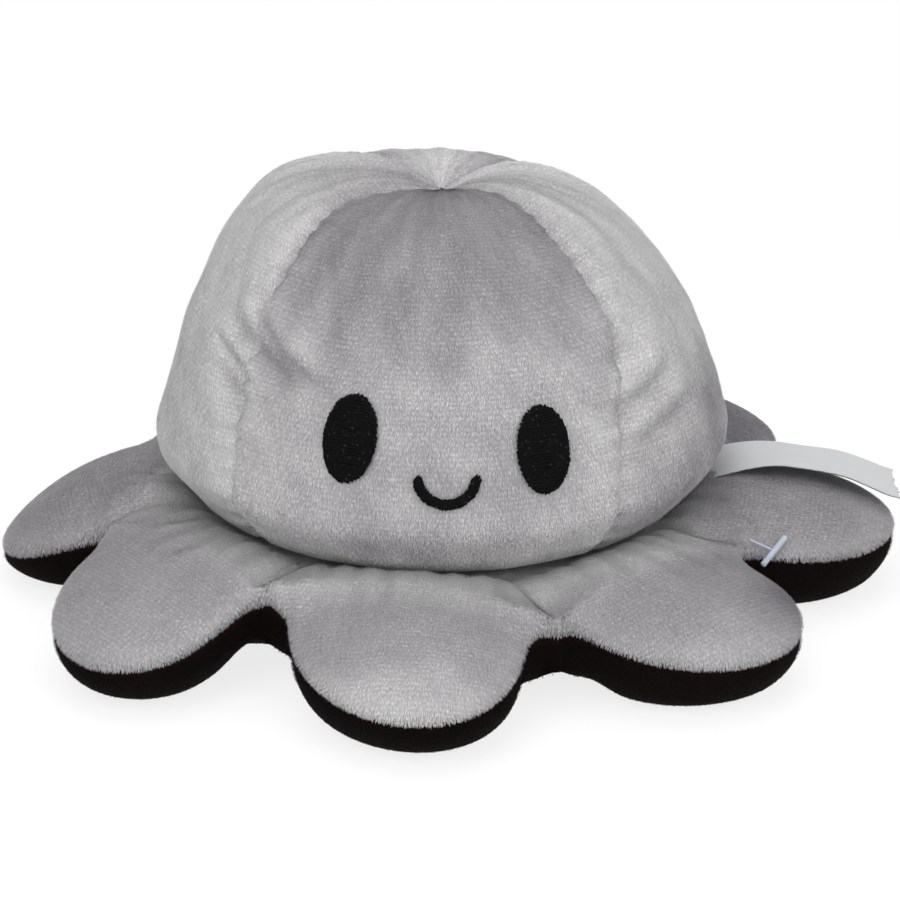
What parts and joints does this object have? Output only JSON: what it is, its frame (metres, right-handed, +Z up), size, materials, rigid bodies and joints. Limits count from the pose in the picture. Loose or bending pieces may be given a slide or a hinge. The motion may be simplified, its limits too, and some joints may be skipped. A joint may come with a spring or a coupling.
{
  "type": "plush octopus",
  "caption": "Reversible stuffed toy octopus: a round grey plush head with an embroidered face on a skirt of short grey tentacles, and black plush below with a pocket turned in.",
  "frame": {"origin": "middle of the part's outline on the floor that it rests on", "axes": "+Z up through the head, -Y the way the face looks, +X to the right of someone who looks at the face"},
  "size_m": [0.2026, 0.1946, 0.0974],
  "materials": {
    "grey_plush": "short pile plush",
    "black_plush": "short pile plush",
    "stuffing": "loose fibre",
    "black_thread": "satin stitch",
    "white_thread": "satin stitch",
    "label_tape": "satin woven tape",
    "clear_plastic": "translucent"
  },
  "bodies": {
    "body": {"head_left_panel": "grey_plush", "head_front_panel": "grey_plush", "head_right_panel": "grey_plush", "head_back_panel": "grey_plush", "pocket_left_panel": "black_plush", "pocket_front_panel": "black_plush", "pocket_right_panel": "black_plush", "pocket_back_panel": "black_plush", "head_filling": "stuffing", "skirt_filling": "stuffing", "skirt_top_left": "grey_plush", "skirt_top_right": "grey_plush", "skirt_under_left": "black_plush", "skirt_under_right": "black_plush", "eye_left": "black_thread", "eye_right": "black_thread", "mouth": "black_thread", "reverse_eye_left": "white_thread", "reverse_eye_right": "white_thread", "reverse_mouth": "white_thread", "label": "label_tape"},
    "tentacle_1": {"tentacle_1_top": "grey_plush", "tentacle_1_under": "black_plush", "tentacle_1_filling": "stuffing"},
    "tentacle_2": {"tentacle_2_top": "grey_plush", "tentacle_2_under": "black_plush", "tentacle_2_filling": "stuffing"},
    "tentacle_3": {"tentacle_3_top": "grey_plush", "tentacle_3_under": "black_plush", "tentacle_3_filling": "stuffing"},
    "tentacle_4": {"tentacle_4_top": "grey_plush", "tentacle_4_under": "black_plush", "tentacle_4_filling": "stuffing"},
    "tentacle_5": {"tentacle_5_top": "grey_plush", "tentacle_5_under": "black_plush", "tentacle_5_filling": "stuffing", "tag_fastener": "clear_plastic"},
    "tentacle_6": {"tentacle_6_top": "grey_plush", "tentacle_6_under": "black_plush", "tentacle_6_filling": "stuffing"},
    "tentacle_7": {"tentacle_7_top": "grey_plush", "tentacle_7_under": "black_plush", "tentacle_7_filling": "stuffing"},
    "tentacle_8": {"tentacle_8_top": "grey_plush", "tentacle_8_under": "black_plush", "tentacle_8_filling": "stuffing"}
  },
  "joints": [
    {"name": "tentacle_1_bend", "type": "hinge", "parent": "body", "child": "tentacle_1", "pos_m": [-0.07072, 0.00597, 0.0135], "axis": [0.1317, 0.9913, 0], "range_deg": [-25, 45], "stiffness_Nm_per_rad": 0.03},
    {"name": "tentacle_2_bend", "type": "hinge", "parent": "body", "child": "tentacle_2", "pos_m": [-0.0571, -0.03901, 0.0135], "axis": [-0.6783, 0.7348, 0], "range_deg": [-25, 45], "stiffness_Nm_per_rad": 0.03},
    {"name": "tentacle_3_bend", "type": "hinge", "parent": "body", "child": "tentacle_3", "pos_m": [-0.00878, -0.06345, 0.0135], "axis": [-0.9827, 0.1853, 0], "range_deg": [-25, 45], "stiffness_Nm_per_rad": 0.03},
    {"name": "tentacle_4_bend", "type": "hinge", "parent": "body", "child": "tentacle_4", "pos_m": [0.04276, -0.04971, 0.0135], "axis": [-0.72, -0.694, 0], "range_deg": [-25, 45], "stiffness_Nm_per_rad": 0.03},
    {"name": "tentacle_5_bend", "type": "hinge", "parent": "body", "child": "tentacle_5", "pos_m": [0.06527, -0.00297, 0.0135], "axis": [-0.0789, -0.9969, 0], "range_deg": [-25, 45], "stiffness_Nm_per_rad": 0.03, "deforming": ["label", "tag_fastener"]},
    {"name": "tentacle_6_bend", "type": "hinge", "parent": "body", "child": "tentacle_6", "pos_m": [0.04948, 0.04478, 0.0135], "axis": [0.6561, -0.7547, 0], "range_deg": [-25, 45], "stiffness_Nm_per_rad": 0.03},
    {"name": "tentacle_7_bend", "type": "hinge", "parent": "body", "child": "tentacle_7", "pos_m": [0.00369, 0.06761, 0.0135], "axis": [0.9969, -0.0785, 0], "range_deg": [-25, 45], "stiffness_Nm_per_rad": 0.03},
    {"name": "tentacle_8_bend", "type": "hinge", "parent": "body", "child": "tentacle_8", "pos_m": [-0.04569, 0.05109, 0.0135], "axis": [0.7547, 0.6561, 0], "range_deg": [-25, 45], "stiffness_Nm_per_rad": 0.03}
  ]
}
